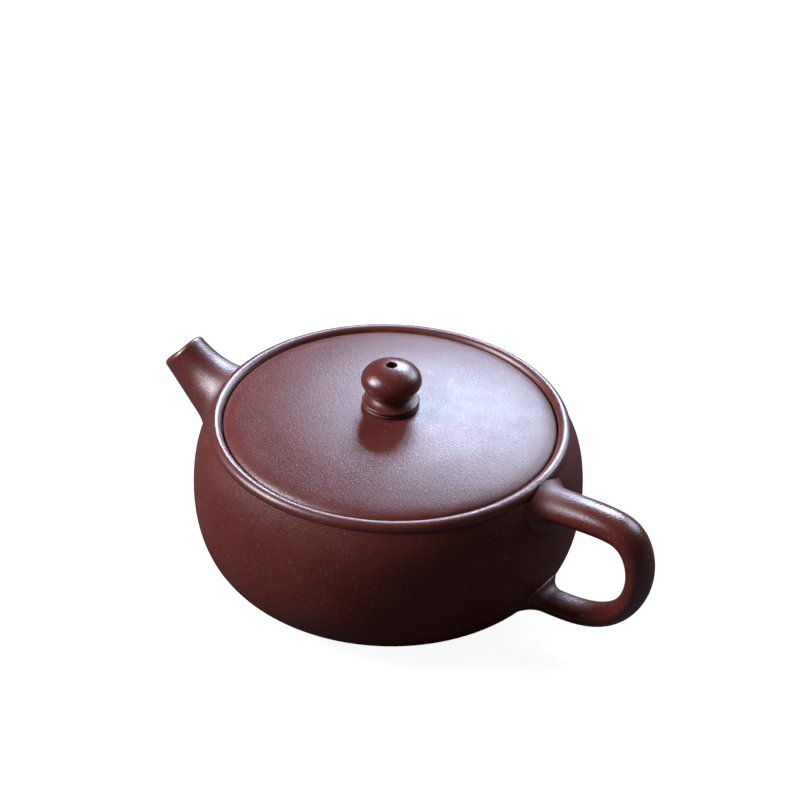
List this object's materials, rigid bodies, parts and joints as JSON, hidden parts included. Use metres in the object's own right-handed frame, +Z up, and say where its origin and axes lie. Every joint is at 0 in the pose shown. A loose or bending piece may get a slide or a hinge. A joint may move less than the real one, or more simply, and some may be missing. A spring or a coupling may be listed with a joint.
{
  "type": "clay teapot",
  "caption": "Low round unglazed clay teapot with a short curved spout, a loop handle, a beaded rim and a lift-off lid with a ball knob and steam hole.",
  "frame": {"origin": "centre of the ring that the base rests on, on the pot's upright axis", "axes": "+Z up along the pot's axis, +X towards the handle, -X towards the spout"},
  "size_m": [0.1398, 0.0938, 0.0568],
  "materials": {
    "pot_clay": "satin",
    "lid_clay": "satin"
  },
  "bodies": {
    "pot": {"body_wall": "pot_clay", "base_disc": "pot_clay", "lid_seat_ring": "pot_clay", "mouth_rim": "pot_clay", "spout": "pot_clay", "spout_strainer": "pot_clay", "handle": "pot_clay"},
    "lid": {"lid_plate": "lid_clay", "lid_flange": "lid_clay", "knob_collar": "lid_clay", "knob": "lid_clay"}
  },
  "joints": [
    {"name": "lid_lift", "type": "slide", "parent": "pot", "child": "lid", "axis": [0, 0, 1], "range_m": [0, 0.06]}
  ]
}
